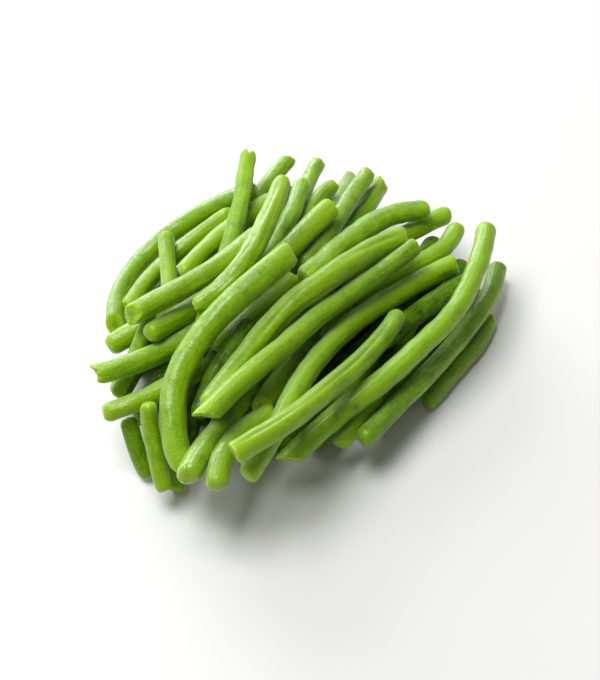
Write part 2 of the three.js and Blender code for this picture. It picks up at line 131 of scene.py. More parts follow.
measured = {name: read_bean(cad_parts[name]) for name in names}
lengths = [np.linalg.norm(np.diff(bean["line"], axis=0), axis=1).sum() for bean in measured.values()]
print(f"beans are {min(lengths) * 1000:.0f} to {max(lengths) * 1000:.0f} mm long")
print(f"{sum(sum(bean['cut']) for bean in measured.values())} ends are cut flat")

# %% [markdown]
# One smooth curve through the measured points
#
# The points of a bean's line lie about a centimetre apart. Straight pieces between them would
# show as kinks, and a Blender curve object would hide where each ring goes. So a natural cubic
# curve is laid through them here: at each point its direction and its bend run on without a
# break, as in a real bean that grew in one go.

# %% A natural cubic curve
def smooth_curve(knots, values, places):
    """The natural cubic curve through values at knots, read at places.

    Between two knots the curve is a cubic whose second derivative runs straight from m0 to m1,
    and the m are those that make the first derivative continuous, with none at the two ends.
    """
    values = values.reshape(len(knots), -1)
    gaps = np.diff(knots)
    slopes = np.diff(values, axis=0) / gaps[:, None]
    system = np.eye(len(knots))
    wanted = np.zeros_like(values)
    inner = np.arange(1, len(knots) - 1)
    system[inner, inner - 1] = gaps[:-1]
    system[inner, inner] = 2 * (gaps[:-1] + gaps[1:])
    system[inner, inner + 1] = gaps[1:]
    wanted[inner] = 6 * np.diff(slopes, axis=0)
    bends = np.linalg.solve(system, wanted)
    span = np.clip(np.searchsorted(knots, places) - 1, 0, len(gaps) - 1)
    gap = gaps[span][:, None]
    after = (places - knots[span])[:, None]
    before = gap - after
    curve = (bends[span] * before**3 + bends[span + 1] * after**3) / (6 * gap)
    curve += (values[span] / gap - bends[span] * gap / 6) * before
    curve += (values[span + 1] / gap - bends[span + 1] * gap / 6) * after
    return curve


arch = smooth_curve(np.arange(3.0), np.array([0.0, 1.0, 0.0]), np.array([0.5]))
print(f"a quarter of the way along an arch of height 1, the curve is {arch[0, 0]:.3f} high")

# %% [markdown]
# The ends
#
# Before cooking, the tips are snapped or cut off. A cut end is a flat, slightly dished face with
# a softened rim, and an end that closed up in the pot is a blunt dome. A bevel on the end would
# round it evenly, but wouldn't dish the face. So both are a short profile: how far in from the
# tip each ring lies, and what share of the full thickness it has.

# %% Profiles of the two kinds of end
CUT_INSET = np.array([0.05, 0.05, 0.04, 0.025, 0.01, 0.0, 0.01, 0.035, 0.09, 0.18, 0.32, 0.50])
CUT_SHARE = np.array([0.0, 0.16, 0.32, 0.47, 0.60, 0.70, 0.78, 0.845, 0.90, 0.945, 0.98, 1.0])
DOME_DEPTH = 0.9
DOME_STEPS = 11
DOME_FULLNESS = 0.62


def end_profile(cut):
    """Insets, in radii, and shares of an end's rings.

    A cut end follows the two lists above. A dome's inset is depth times (1 - cos(t)) and its
    share is sin(t) to the power of its fullness, for t from nothing to a quarter turn.
    """
    if cut:
        return CUT_INSET, CUT_SHARE
    turn = np.linspace(0, math.pi / 2, DOME_STEPS)
    return DOME_DEPTH * (1 - np.cos(turn)), np.sin(turn) ** DOME_FULLNESS


def bean_stations(length, radii_at_ends, cuts, step):
    """Places of the rings along a bean, and the share of its thickness that each one has."""
    near_inset, near_share = end_profile(cuts[0])
    far_inset, far_share = end_profile(cuts[1])
    near = near_inset * radii_at_ends[0]
    far = length - far_inset[::-1] * radii_at_ends[1]
    count = max(2, round((far[0] - near[-1]) / step))
    middle = np.linspace(near[-1], far[0], count + 1)[1:-1]
    places = np.concatenate([near, middle, far])
    shares = np.concatenate([near_share, np.ones(len(middle)), far_share[::-1]])
    return places, shares


print(f"{len(CUT_INSET)} rings shape a cut end, and {DOME_STEPS} a closed one")

# %% [markdown]
# How each bean differs
#
# No two beans in a heap are alike. A plain bean is described once, by a dictionary of measures.
# The beans at the far side of the heap are more wrinkled, and carry more of a painted pale
# highlight. Those deep in it are painted darker, as painted shade. A bean that stands out, by a
# deep groove, a slanted cut, a torn tip or a brown spot, has entries of its own. What isn't named
# there is drawn from random numbers with a fixed seed, so the heap comes out the same each time.

# %% The measures of a bean
SHAPE_SEED = 20
TWIST_LIMITS = (-12, 12)  # radians per metre that the seam turns round the bean
SLANT_LIMITS = (0.0, 0.45)
PLAIN = {  # heights and depths are shares of the bean's radius
    "oval": 0.035,  # how much wider the bean is across its seams
    "seeds": 0.03,  # height of the swellings over the seeds
    "groove": 0.0,  # depth of the groove where the pod sank in
    "groove_at": 20.0,  # degrees from the bean's top to the groove, towards its right side
    "groove_width": 0.24,  # in radians
    "creases": 0.022,  # depth of the narrow creases
    "ribs": 0.0,  # height of the small ribs across the bean
    "dents": 1.0,  # strength of the shallow dents
    "rag": (0.07, 0.07),  # how torn the near and the far end are
    "shine": 0.9,  # how wet the skin is
    "bloom": 0.52,  # how much painted pale highlight lies on the side that faces the lights
}
LUMPY_START = "back_"
# The far beans carry more of the painted pale highlight than a plain one.
LUMPY = {"dents": 2.0, "creases": 0.045, "rag": (0.20, 0.20), "shine": 1.0, "bloom": 0.8}
HIDDEN_START = ("bed_", "deep_")
# The hidden beans are painted darker: painted shade, as deep in the heap.
HIDDEN = {"tone": (-2.9, -2.9), "shine": 0.35}
print(f"a plain bean has {len(PLAIN)} measures")

# %% [markdown]
# The beans that stand out
#
# Pairs hold a value for the near and one for the far end. A slant is how far the end leans, in
# radii, and lean_at is the side that stands out furthest. Its degrees are counted from the
# bean's left side, as seen from the near end, with the top at ninety. A tone is how much lighter
# or darker the end is, and the dark tones of beans that lie in shade are painted shade. A spot has
# its place along the bean in metres and its angle in degrees. Some beans carry more or less of the
# painted pale highlight than a plain one.

# %% Their own measures
STANDOUT = {
    # This bean carries less of the painted pale highlight than most.
    "back_torn_upright": {
        "rag": (0.05, 0.95), "slant": (0.1, 0.0), "groove": 0.07, "groove_at": 0.0,
        "creases": 0.05, "tone": (-1.4, -0.2), "shine": 0.12, "bloom": 0.2},
    "back_long_ragged": {
        "rag": (0.55, 0.08), "groove": 0.11, "groove_at": -8.0, "groove_width": 0.16,
        "creases": 0.06, "tone": (-0.3, 1.0)},
    "back_wavy": {"seeds": 0.07, "oval": 0.05, "ribs": 0.018, "creases": 0.03},
    "back_cut_top": {"groove": 0.06, "groove_at": 10.0, "rag": (0.1, 0.16)},
    "back_long": {"groove": 0.05, "groove_at": -10.0, "creases": 0.04},
    # This bean carries more of the painted pale highlight than most.
    "left_rim_long": {
        "slant": (0.75, 0.1), "lean_at": (-90.0, 0.0), "rag": (0.05, 0.05), "bloom": 0.85},
    "left_upper_cross": {"slant": (0.55, 0.1), "lean_at": (-70.0, 0.0), "rag": (0.16, 0.05)},
    "left_low_notched": {
        "rag": (0.32, 0.04), "slant": (0.35, 0.1), "lean_at": (60.0, 0.0), "tone": (0.6, -1.6)},
    "left_low_pale": {"rag": (0.16, 0.05), "tone": (1.8, -0.6)},
    "middle_left_cut": {
        "rag": (0.2, 0.16), "slant": (0.1, 0.5), "lean_at": (0.0, -90.0), "tone": (-1.6, 2.0)},
    "front_left_hook": {
        "rag": (0.1, 0.24), "slant": (0.2, 0.3), "lean_at": (90.0, 0.0), "tone": (0.4, -0.6)},
    # The far end of this bean is painted darker: painted shade from the bean that lies over it.
    "middle_long_bright": {
        "rag": (0.22, 0.06), "slant": (1.15, 0.1), "lean_at": (54.0, 0.0), "tone": (1.2, -1.8)},
    "middle_long_grooved": {
        "groove": 0.14, "groove_at": 8.0, "groove_width": 0.15, "creases": 0.10,
        "tone": (-0.6, 0.2), "rag": (0.06, 0.16)},
    # These two are painted dark: painted shade, as in the gaps deep in the heap.
    "middle_dark": {"tone": (-3.4, -3.2), "shine": 0.7},
    "deep_left_gap": {"tone": (-4.0, -4.0), "shine": 0.5},
    "middle_round_end": {
        "cut": (True, False), "slant": (0.5, 0.1), "lean_at": (-80.0, 0.0), "tone": (0.3, -2.5)},
    # The far end of this bean is painted darker: painted shade under its neighbour.
    "front_knobbly": {
        "groove": 0.24, "groove_at": 2.0, "groove_width": 0.15, "seeds": 0.06, "creases": 0.04,
        "slant": (0.45, 0.1), "lean_at": (123.0, 0.0), "tone": (0.9, -1.0)},
    "front_long": {
        "groove": 0.05, "groove_at": -14.0, "slant": (0.87, 0.1), "lean_at": (24.0, 0.0),
        "tone": (0.1, 0.4), "spot": (0.026, 150.0)},
    "lower_left_speckled": {"shine": 1.7},
    "right_long_upper": {"seeds": 0.04, "creases": 0.03, "tone": (0.6, 0.0)},
    # These three are painted darker, as painted shade.
    "right_long_shaded": {"seeds": 0.05, "tone": (-1.8, -0.2)},
    "right_dark_outer": {"tone": (-1.9, -1.4)},
    "deep_left_low": {"tone": (-1.9, -1.9)},
}
print(f"{len(STANDOUT)} of {len(names)} beans have measures of their own")

# %% [markdown]
# The shape of the pod
#
# A pod isn't a plain tube. Two seams run along it, one of them between two low ridges. The seeds
# inside lift the skin in soft swellings. Cooking leaves it a little shrivelled, with narrow
# creases and shallow dents, and on some beans with a groove where the pod sank in. Each could be
# sculpted by hand, but 59 beans need it. Written as one factor on the thickness, worked out from
# the place along the bean and the angle round it, all of it comes from a few formulas.

# %% Dents, creases and seeds
DENT_WAVES = [  # how many go round the bean, their length along it in metres, and their height
    (1, 0.031, 0.018), (2, 0.019, 0.016), (3, 0.055, 0.014), (4, 0.038, 0.011), (5, 0.047, 0.009),
    (7, 0.026, 0.006), (9, 0.030, 0.004), (1, 0.012, 0.011), (3, 0.014, 0.011), (2, 0.008, 0.008),
    (4, 0.010, 0.006), (5, 0.006, 0.004), (3, 0.0045, 0.003), (1, 0.0055, 0.005),
]
DENT_STRETCH = (0.8, 1.25)
CREASES = 6
CREASE_WIDTH = 0.13
CREASE_WANDER = (0.16, 0.013)
CREASE_SHOWN = 0.5
FADING_LENGTH = 0.009
WANDER_SHIFT = 3  # makes each crease wander in its own way
FADING_SHIFT = 5  # makes each crease fade at its own places
SEED_PITCH = 0.0088  # metres from one seed to the next
SEED_SHIFT = 0.001
SEED_LENGTH = 0.0024
SEED_SIZES = (0.4, 1.0)


def bump_at(angle, width):
    """A soft bump round the bean: e to the power of (cos(angle) - 1) / width squared."""
    return np.exp((np.cos(angle) - 1) / width**2)


def dents(places, angles, rng):
    """The sum of waves, height * sin(place) * cos(count * angle), each with its own length."""
    total = np.zeros_like(places)
    for round_count, wavelength, height in DENT_WAVES:
        start = rng.uniform(0, 2 * math.pi, 2)
        stretch = rng.uniform(*DENT_STRETCH)
        wave = np.sin(2 * math.pi * places / (wavelength * stretch) + start[0])
        total += height * wave * np.cos(round_count * angles + start[1])
    return total


def creases(places, angles, rng):
    """Narrow bumps inwards, from -1 to 0, that wander round the bean by a sine and fade along it."""
    total = np.zeros_like(places)
    swing, swing_length = CREASE_WANDER
    for start in rng.uniform(0, 2 * math.pi, CREASES):
        wander = swing * np.sin(places / swing_length + WANDER_SHIFT * start)
        fading = np.sin(places / FADING_LENGTH + FADING_SHIFT * start)
        shown = np.clip(CREASE_SHOWN + fading, 0, 1)
        total -= shown * bump_at(angles - start - wander, CREASE_WIDTH)
    return total


def seed_swell(places, rng):
    """The seeds: a row of bumps e to the power of -(distance / length) squared, of many sizes."""
    rows = np.arange(places.min(), places.max(), SEED_PITCH) + rng.uniform(-SEED_SHIFT, SEED_SHIFT)
    sizes = rng.uniform(*SEED_SIZES, len(rows))
    away = (places[..., None] - rows) / SEED_LENGTH
    return (sizes * np.exp(-(away**2))).sum(axis=-1)


deepest = sum(height for round_count, wavelength, height in DENT_WAVES)
print(f"where all its waves meet, a dent is {deepest:.0%} of the radius deep")

# %% [markdown]
# Seams and the factor as a whole
#
# The seam is a narrow line pressed into a wider, lower ridge, so that its two lips stay raised.
# It turns slowly round the bean as it runs along. A groove keeps to one side of the bean, wanders
# a little, and dies out before the ends. The factor is one, with all the swellings added to it
# and all the hollows taken off.

# %% The factor on a bean's thickness
SEAM_DEPTH = 0.030
SEAM_WIDTH = 0.10
SEAM_LIPS = 0.018
SEAM_LIP_WIDTH = 0.30
GROOVE_WANDER = (0.12, 0.011)
GROOVE_DEPTHS = (0.65, 0.35)
GROOVE_SHIFT = 2  # makes each bean's groove fade at its own places
GROOVE_CLEAR = 0.009
SEED_FLANKS = (0.65, 0.35)
RIB_LENGTH = 0.0029


def from_seam(places, angles, look):
    """The angle from the seam, which starts at its turn and twists on with each place."""
    return angles - look["turn"] - look["twist"] * places


def groove_factor(places, angles, look):
    """The groove's depth: a bump at its angle, deeper and shallower by a sine, clear of the ends."""
    swing, swing_length = GROOVE_WANDER
    wander = swing * np.sin(places / swing_length + look["turn"])
    groove_angle = math.pi / 2 + math.radians(look["groove_at"]) + wander
    steady, varied = GROOVE_DEPTHS
    fading = steady + varied * np.sin(places / FADING_LENGTH + GROOVE_SHIFT * look["turn"])
    fading *= np.clip(np.minimum(places, places.max() - places) / GROOVE_CLEAR, 0, 1)
    return look["groove"] * fading * bump_at(angles - groove_angle, look["groove_width"])


def pod_factor(places, angles, look, rng):
    """1 + oval + ridges - seam - groove + seeds + ribs - creases + dents."""
    round_seam = from_seam(places, angles, look)
    factor = 1 + look["oval"] * np.cos(2 * round_seam)
    factor += SEAM_LIPS * bump_at(round_seam, SEAM_LIP_WIDTH)
    factor -= SEAM_DEPTH * bump_at(round_seam, SEAM_WIDTH)
    factor += SEAM_LIPS * bump_at(round_seam + math.pi, SEAM_WIDTH)
    factor -= groove_factor(places, angles, look)
    steady, varied = SEED_FLANKS
    flanks = steady - varied * np.cos(2 * round_seam)
    factor += look["seeds"] * seed_swell(places, rng) * flanks
    factor += look["ribs"] * np.sin(2 * math.pi * places / RIB_LENGTH) * np.sin(angles)
    factor += look["creases"] * creases(places, angles, rng)
    return factor + look["dents"] * dents(places, angles, rng)


print(f"the seam is {SEAM_DEPTH:.0%} of the radius deep, between lips {SEAM_LIPS:.1%} high")

# %% [markdown]
# Directions along and round a bean
#
# To place a point on the skin, three directions are needed at each point of the line: along the
# bean, across it, and over its top. Turning a frame along the curve step by step would twist it
# in ways that are hard to foresee. Taking the second direction level, at right angles to up, is
# steadier, and works because no bean in a heap stands on its end.

# %% Frames and the lean of the ends
UP = np.array([0.0, 0.0, 1.0])
LINE_SAMPLES = 400
END_FADE = 1.6
TORN_COUNTS = range(2, 10)
TORN_HEIGHTS = (0.5, 1.2)
TORN_FALL = 0.8


def bean_frame(line_points):
    """Unit vectors along the bean, across it and over its top, at each point of its line."""
    along = np.gradient(line_points, axis=0)
    along /= np.linalg.norm(along, axis=1, keepdims=True)
    across = np.cross(UP, along)
    across /= np.linalg.norm(across, axis=1, keepdims=True)
    return along, across, np.cross(along, across)


def ragged_edge(angles, rng):
    """How far a torn edge stands out: the sum of sin(count * angle) / count to a power."""
    total = np.zeros_like(angles)
    for count in TORN_COUNTS:
        height = rng.uniform(*TORN_HEIGHTS) / count**TORN_FALL
        total += height * np.sin(count * angles + rng.uniform(0, 2 * math.pi))
    return total


def end_tilt(grid_angle, stations, look, rng):
    """How far each point is moved along the bean: a slanted cut's cosine and a torn edge.

    Both are at full strength at the tip and fade to nothing over END_FADE radii.
    """
    places, shares, radii, length = stations
    tilt = np.zeros_like(grid_angle)
    for inset, outward, end in ((places, -1, 0), (length - places, 1, 1)):
        fade = np.clip(1 - inset / (END_FADE * radii), 0, 1) ** 2
        lean = look["slant"][end] * np.cos(grid_angle - math.radians(look["lean_at"][end]))
        torn = look["rag"][end] * ragged_edge(grid_angle, rng)
        tilt += outward * (fade * radii * shares)[:, None] * (lean + torn * shares[:, None])
    return tilt


print(f"a slanted or torn end fades out over {END_FADE} radii")

# %% [markdown]
# From the shape to a grid of points
#
# Each bean is a grid: rings along it, and points round each ring. A point is the point of the
# line, plus the thickness times the factor in the direction of its angle, plus the lean of the
# end. Whole arrays are worked out at once, which is quick even with thousands of points. No
# point may go under the ground, so a bean that lies on it is a little flat there.

# %% The grid of a bean
def bean_surface(bean, look, sides, step, rng):
    """point = line + thickness * factor * (cos * across + sin * over) + tilt * along."""
    knots = np.concatenate([[0], np.cumsum(np.linalg.norm(np.diff(bean["line"], axis=0), axis=1))])
    length = knots[-1]
    places, shares = bean_stations(length, bean["radii"][[0, -1]], bean["cut"], step)
    samples = np.linspace(0, length, LINE_SAMPLES)
    directions = bean_frame(smooth_curve(knots, bean["line"], samples))
    along, across, over = (
        np.stack([np.interp(places, samples, part[:, axis]) for axis in range(3)], axis=1)[:, None, :]
        for part in directions)
    middles = smooth_curve(knots, bean["line"], places)
    radii = np.interp(places, knots, bean["radii"])
    angles = np.arange(sides) * 2 * math.pi / sides
    grid_place, grid_angle = np.meshgrid(places, angles, indexing="ij")
    reach = (shares * radii)[:, None] * pod_factor(grid_place, grid_angle, look, rng)
    tilt = end_tilt(grid_angle, (places, shares, radii, length), look, rng)
    outward = np.cos(grid_angle)[..., None] * across + np.sin(grid_angle)[..., None] * over
    points = middles[:, None, :] + reach[..., None] * outward + tilt[..., None] * along
    points[..., 2] = np.maximum(points[..., 2], 0)
    return {"points": points, "places": grid_place, "angles": grid_angle, "shares": shares,
            "radii": radii, "length": length, "outward": outward}


print(f"the directions are read at {LINE_SAMPLES} places along each bean")

# %% [markdown]
# From the grid to faces
#
# The first and the last ring of the grid are shrunk to nothing. Left as rings they would be
# needles of faces with no area, so each is replaced by one point, and a fan of triangles closes
# the end. Four-sided faces join the other rings, and the last point of a ring meets its first,
# so that the mesh has no seam. The corners run so that every face points outwards.

# %% Turn the grid into faces
def grid_faces(rings, sides):
    """Quads between neighbouring rings, and a fan of triangles round the point at each end."""
    ring, side = np.meshgrid(np.arange(rings - 1), np.arange(sides), indexing="ij")
    after = (side + 1) % sides
    quads = np.stack([ring * sides + side, ring * sides + after,
                      (ring + 1) * sides + after, (ring + 1) * sides + side], axis=-1)
    near_point = rings * sides
    side = np.arange(sides)
    after = (side + 1) % sides
    near_fan = np.stack([np.full(sides, near_point), after, side], axis=-1)
    last = (rings - 1) * sides
    far_fan = np.stack([np.full(sides, near_point + 1), last + side, last + after], axis=-1)
    return quads.reshape(-1, 4).tolist() + near_fan.tolist() + far_fan.tolist()


def per_point(grid):
    """Values of the inner rings of a grid, and then those of its two end points."""
    inner = grid[1:-1].reshape(-1, *grid.shape[2:])
    ends = np.stack([grid[0].mean(axis=0), grid[-1].mean(axis=0)])
    return np.concatenate([inner, ends])


print(f"{len(grid_faces(3, 8))} faces close a grid of 3 rings with 8 points each")

# %% [markdown]
# What the finish needs to know
#
# A cut face is paler than the skin, and fine lines run along the pod. A texture that only knows
# places in space can't tell where a bean ends or which way it runs, so the mesh carries values
# of its own at each point. The grain goes round with the bean and is stretched along it, so a
# noise on it comes out as streaks. Each bean starts at another place in the noise.

# %% Values at each point of a bean
FACE_RIM_INSET = 0.22
TIP_REACH = 1.7
GRAIN_ALONG = 0.05
GRAIN_STARTS = (31, 17)  # how far apart the beans start in the noise
SEAM_LINE_WIDTH = 0.16
SPOT_SIZE = 0.0011
# The side that the painted pale highlight faces: back, left and up, towards the lights.
PAINTED_HIGHLIGHT_SIDE = np.array([-0.55, 0.34, 0.76])


def brown_spot(surface, place, degrees):
    """A round spot: e to the power of -(distance / size) squared, on its own side of the bean."""
    angle = surface["angles"] - math.radians(degrees)
    ahead = surface["places"] - place
    round_by = surface["radii"][:, None] * np.sin(angle)
    return (np.cos(angle) > 0) * np.exp(-((ahead**2 + round_by**2) / SPOT_SIZE**2))


def finish_values(surface, cuts, look):
    """What a point carries: grain, cut, share, tip, seam, tone, warmth, shine, spot and painted
    highlight.

    Cut and tip are 1 - inset / reach, kept between 0 and 1. The painted pale highlight is the bean's
    own amount of it times the square of the cosine between the outward direction and the side
    towards the lights. The tone is partly random and partly painted shade.
    """
    places, angles, radii = surface["places"], surface["angles"], surface["radii"][:, None]
    flat = np.zeros_like(places)
    cut, tip = flat, flat
    for inset, is_cut in ((places / radii, cuts[0]), ((surface["length"] - places) / radii, cuts[1])):
        if is_cut:
            cut = np.maximum(cut, np.clip(1 - inset / FACE_RIM_INSET, 0, 1))
        tip = np.maximum(tip, np.clip(1 - inset / TIP_REACH, 0, 1))
    grain = np.stack([
        np.cos(angles) + look["turn"] * GRAIN_STARTS[0],
        np.sin(angles) + look["twist"] * GRAIN_STARTS[1],
        places / surface["radii"].mean() * GRAIN_ALONG,
    ], axis=-1)
    return {
        "grain": grain,
        "cut": cut,
        "share": np.broadcast_to(surface["shares"][:, None], places.shape),
        "tip": tip,
        "seam": bump_at(from_seam(places, angles, look), SEAM_LINE_WIDTH),
        # The tone is partly random and partly painted shade, for the beans that lie in shade.
        "tone": np.interp(places, [0, surface["length"]], look["tone"]),
        "warmth": np.full_like(places, look["warmth"]),
        "shine": np.full_like(places, look["shine"]),
        "spot": brown_spot(surface, *look["spot"]) if "spot" in look else flat,
        # A painted pale highlight, strongest on the side that faces the lights.
        "bloom": look["bloom"] * np.clip(surface["outward"] @ PAINTED_HIGHLIGHT_SIDE, 0, 1) ** 2,
    }


# What this prints is where the painted pale highlight lies thickest.
print(f"the pale film lies thickest on the side that faces {PAINTED_HIGHLIGHT_SIDE}")

# %% [markdown]
# Making every bean
#
# The beans that show have many points and rings close together. Those deep in the heap are seen
# only through gaps, so they have fewer. Each bean takes the place of its plain solid and stays
# where that solid was, which is why its object sits at the origin with its place in its mesh.

# %% Put a bean's grid into a mesh
SIDES_SHOWN = 64
SIDES_HIDDEN = 28
STEP_SHOWN = 0.0009
STEP_HIDDEN = 0.0018


def bean_look(name, rng):
    """The measures of one bean: the plain ones, its random ones, and then its own."""
    look = dict(PLAIN)
    look["turn"] = rng.uniform(0, 2 * math.pi)
    look["twist"] = rng.uniform(*TWIST_LIMITS)
    look["tone"] = rng.uniform(-1, 1, 2)
    look["warmth"] = rng.uniform(-1, 1)
    look["slant"] = rng.uniform(*SLANT_LIMITS, 2)
    look["lean_at"] = rng.uniform(-180, 180, 2)
    look["cut"] = measured[name]["cut"]
    if name.startswith(HIDDEN_START):
        look.update(HIDDEN)
    if name.startswith(LUMPY_START):
        look.update(LUMPY)
    look.update(STANDOUT.get(name, {}))
    return look


def make_bean(name, surface, values):
    """A mesh object with the bean's points and faces, shaded smooth, with the values attached."""
    rings, sides = surface["places"].shape
    mesh = bpy.data.meshes.new(name)
    mesh.from_pydata(per_point(surface["points"]), [], grid_faces(rings - 2, sides))
    mesh.polygons.foreach_set("use_smooth", np.ones(len(mesh.polygons), bool))
    for key, grid in values.items():
        vector = grid.ndim == 3
        attribute = mesh.attributes.new(key, "FLOAT_VECTOR" if vector else "FLOAT", "POINT")
        attribute.data.foreach_set("vector" if vector else "value", per_point(grid).ravel())
    mesh.update()
    piece = bpy.data.objects.new(name, mesh)
    bpy.context.scene.collection.objects.link(piece)
    return piece


print(f"{SIDES_SHOWN} points round a bean that shows, and {SIDES_HIDDEN} round a hidden one")

# %% Make every bean
beans = {}
for index, name in enumerate(names):
    rng = np.random.default_rng(SHAPE_SEED + index)
    look = bean_look(name, rng)
    hidden = name.startswith(HIDDEN_START)
    sides, step = (SIDES_HIDDEN, STEP_HIDDEN) if hidden else (SIDES_SHOWN, STEP_SHOWN)
    surface = bean_surface({**measured[name], "cut": look["cut"]}, look, sides, step, rng)
    bean = make_bean(name + "_pod", surface, finish_values(surface, look["cut"], look))
    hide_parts(name)
    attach(bean, "root")
    beans[name] = bean
faces = [face for bean in beans.values() for face in bean.data.polygons]
print(f"{len(beans)} beans with {sum(len(face.vertices) - 2 for face in faces)} triangles")

# %% [markdown]
# Shader maths in Python
#
# A finish is a graph of nodes, and long graphs are hard to read as code. A small class wraps the
# output of a node, so that adding or multiplying two wrapped outputs adds the Math node for it.
# Every other node comes from one method that takes its type, its settings and its inputs.

# %% A wrapped socket
class Wire:
    """An output of a node, on which Python's operators add Math nodes."""

    def __init__(self, bench, socket):
        self.bench = bench
        self.socket = socket

    def math(self, operation, first, second):
        """A Math node with two inputs."""
        return self.bench.add("ShaderNodeMath", {"operation": operation}, {0: first, 1: second})

    def __add__(self, other):
        return self.math("ADD", self, other)

    def __radd__(self, other):
        return self.math("ADD", other, self)

    def __sub__(self, other):
        return self.math("SUBTRACT", self, other)

    def __rsub__(self, other):
        return self.math("SUBTRACT", other, self)

    def __mul__(self, other):
        return self.math("MULTIPLY", self, other)

    def __rmul__(self, other):
        return self.math("MULTIPLY", other, self)

    def __pow__(self, other):
        return self.math("POWER", self, other)


print("a wire can be added, taken away, multiplied and raised to a power")

# %% A workbench of nodes
class Bench:
    """A material's nodes, with one method that adds any node."""

    def __init__(self, name):
        self.material = bpy.data.materials.new(name)
        self.material.use_nodes = True
        self.tree = self.material.node_tree
        self.tree.nodes.clear()

    def add(self, kind, settings, inputs, output=0):
        """Adds a node, sets it up, fills or links its sockets, and wraps one of its outputs."""
        node = self.tree.nodes.new(kind)
        for key, value in settings.items():
            if key == "stops":
                self.set_stops(node.color_ramp, value)
            else:
                setattr(node, key, value)
        for key, value in inputs.items():
            if isinstance(value, Wire):
                self.tree.links.new(value.socket, node.inputs[key])
            else:
                node.inputs[key].default_value = value
        return Wire(self, node.outputs[output]) if len(node.outputs) else None

    def set_stops(self, ramp, stops):
        """Gives a ramp its stops, each a position and a colour."""
        while len(ramp.elements) < len(stops):
            ramp.elements.new(1.0)
        for element, (position, colour) in zip(ramp.elements, stops):
            element.position = position
            element.color = colour

    def attribute(self, name, output="Fac"):
        """A value that the mesh carries at each point."""
        return self.add("ShaderNodeAttribute", {"attribute_name": name}, {}, output)

    def noise(self, vector, scale, detail=3.0, roughness=0.55):
        """A cloudy pattern, from 0 to 1, with its middle at one half."""
        inputs = {"Vector": vector, "Scale": scale, "Detail": detail, "Roughness": roughness}
        return self.add("ShaderNodeTexNoise", {}, inputs, "Fac")

    def mix(self, factor, first, second):
        """A colour between two colours."""
        return self.add("ShaderNodeMix", {"data_type": "RGBA"}, {0: factor, 6: first, 7: second}, 2)

    def between(self, value, low, high):
        """0 where a value is under low, 1 where it is over high, and a smooth rise between them."""
        settings = {"interpolation_type": "SMOOTHSTEP"}
        inputs = {"Value": value, "From Min": low, "From Max": high, "To Min": 0.0, "To Max": 1.0}
        return self.add("ShaderNodeMapRange", settings, inputs)


print("a bench adds attributes, noises, mixes and ranges, and any other node by its type")

# %% [markdown]
# The patterns of the skin
#
# A real skin has no one pattern. Streaks and wrinkles run along the bean, clouds of lighter and
# darker green a few millimetres wide lie over them, and under those comes a fine mottling down
# to pores. One noise with much detail would look the same at every size, so there are five, each
# with its own scale. Two follow the grain that the mesh carries, and three fill the space.

# %% Noises of five sizes
# Each noise has its scale, its detail and its roughness.
ALONG_GRAIN = {"streaks": (9.0, 4.0, 0.6), "wrinkles": (16.0, 5.0, 0.65)}
BY_PLACE = {"clouds": (130.0, 3.0, 0.5), "mottle": (620.0, 3.0, 0.6), "pores": (1700.0, 2.0, 0.7)}
# Of these values, one is a painted pale highlight, and the tone holds painted shade.
CARRIED = ("cut", "share", "tip", "tone", "warmth", "seam", "shine", "spot", "bloom")


def bean_patterns(bench):
    """Everything that varies over a bean: the values that its mesh carries, and the noises."""
    seen = {key: bench.attribute(key) for key in CARRIED}
    grain = bench.attribute("grain", "Vector")
    place = bench.add("ShaderNodeTexCoord", {}, {}, "Object")
    seen.update({key: bench.noise(grain, *sizes) for key, sizes in ALONG_GRAIN.items()})
    seen.update({key: bench.noise(place, *sizes) for key, sizes in BY_PLACE.items()})
    return seen


def blended(seen, parts):
    """The sum of some patterns, each times its share."""
    return sum(seen[key] * part for key, part in parts.items())


print(f"{len(ALONG_GRAIN) + len(BY_PLACE)} noises and {len(CARRIED)} values from the mesh")

# %% [markdown]
# The colours of a cooked bean
#
# A cooked bean is a saturated, slightly yellow green, and each one is a little lighter or warmer
# than the next. A ramp turns the blend of the patterns into greens, from the painted shade of the
# hidden beans to the light of a fresh side. Towards the tips the skin is paler. A painted pale
# highlight, broken into specks, lies on the sides that face up and to the left, towards the
# lights. The cut faces are pale too, with a darker heart and a light rim where the skin ends,
# which is partly a painted highlight.

# %% Colours and their limits
# The darkest green is painted shade, for beans deep in the heap or under a neighbour.
PAINTED_SHADE_GREEN = (0.020, 0.042, 0.0004, 1)
DEEP_GREEN = (0.122, 0.272, 0.0005, 1)
MID_GREEN = (0.258, 0.478, 0.0005, 1)
LIGHT_GREEN = (0.305, 0.520, 0.0010, 1)
WARM_GREEN = (0.295, 0.435, 0.0008, 1)
FRESH_CUT = (0.330, 0.550, 0.0050, 1)
# The pale rim of a cut face is partly the skin's own edge and partly a painted highlight.
RIM_AND_PAINTED_HIGHLIGHT = (0.400, 0.610, 0.0500, 1)
CUT_HEART = (0.220, 0.400, 0.0030, 1)
SPOT_BROWN = (0.050, 0.075, 0.0040, 1)
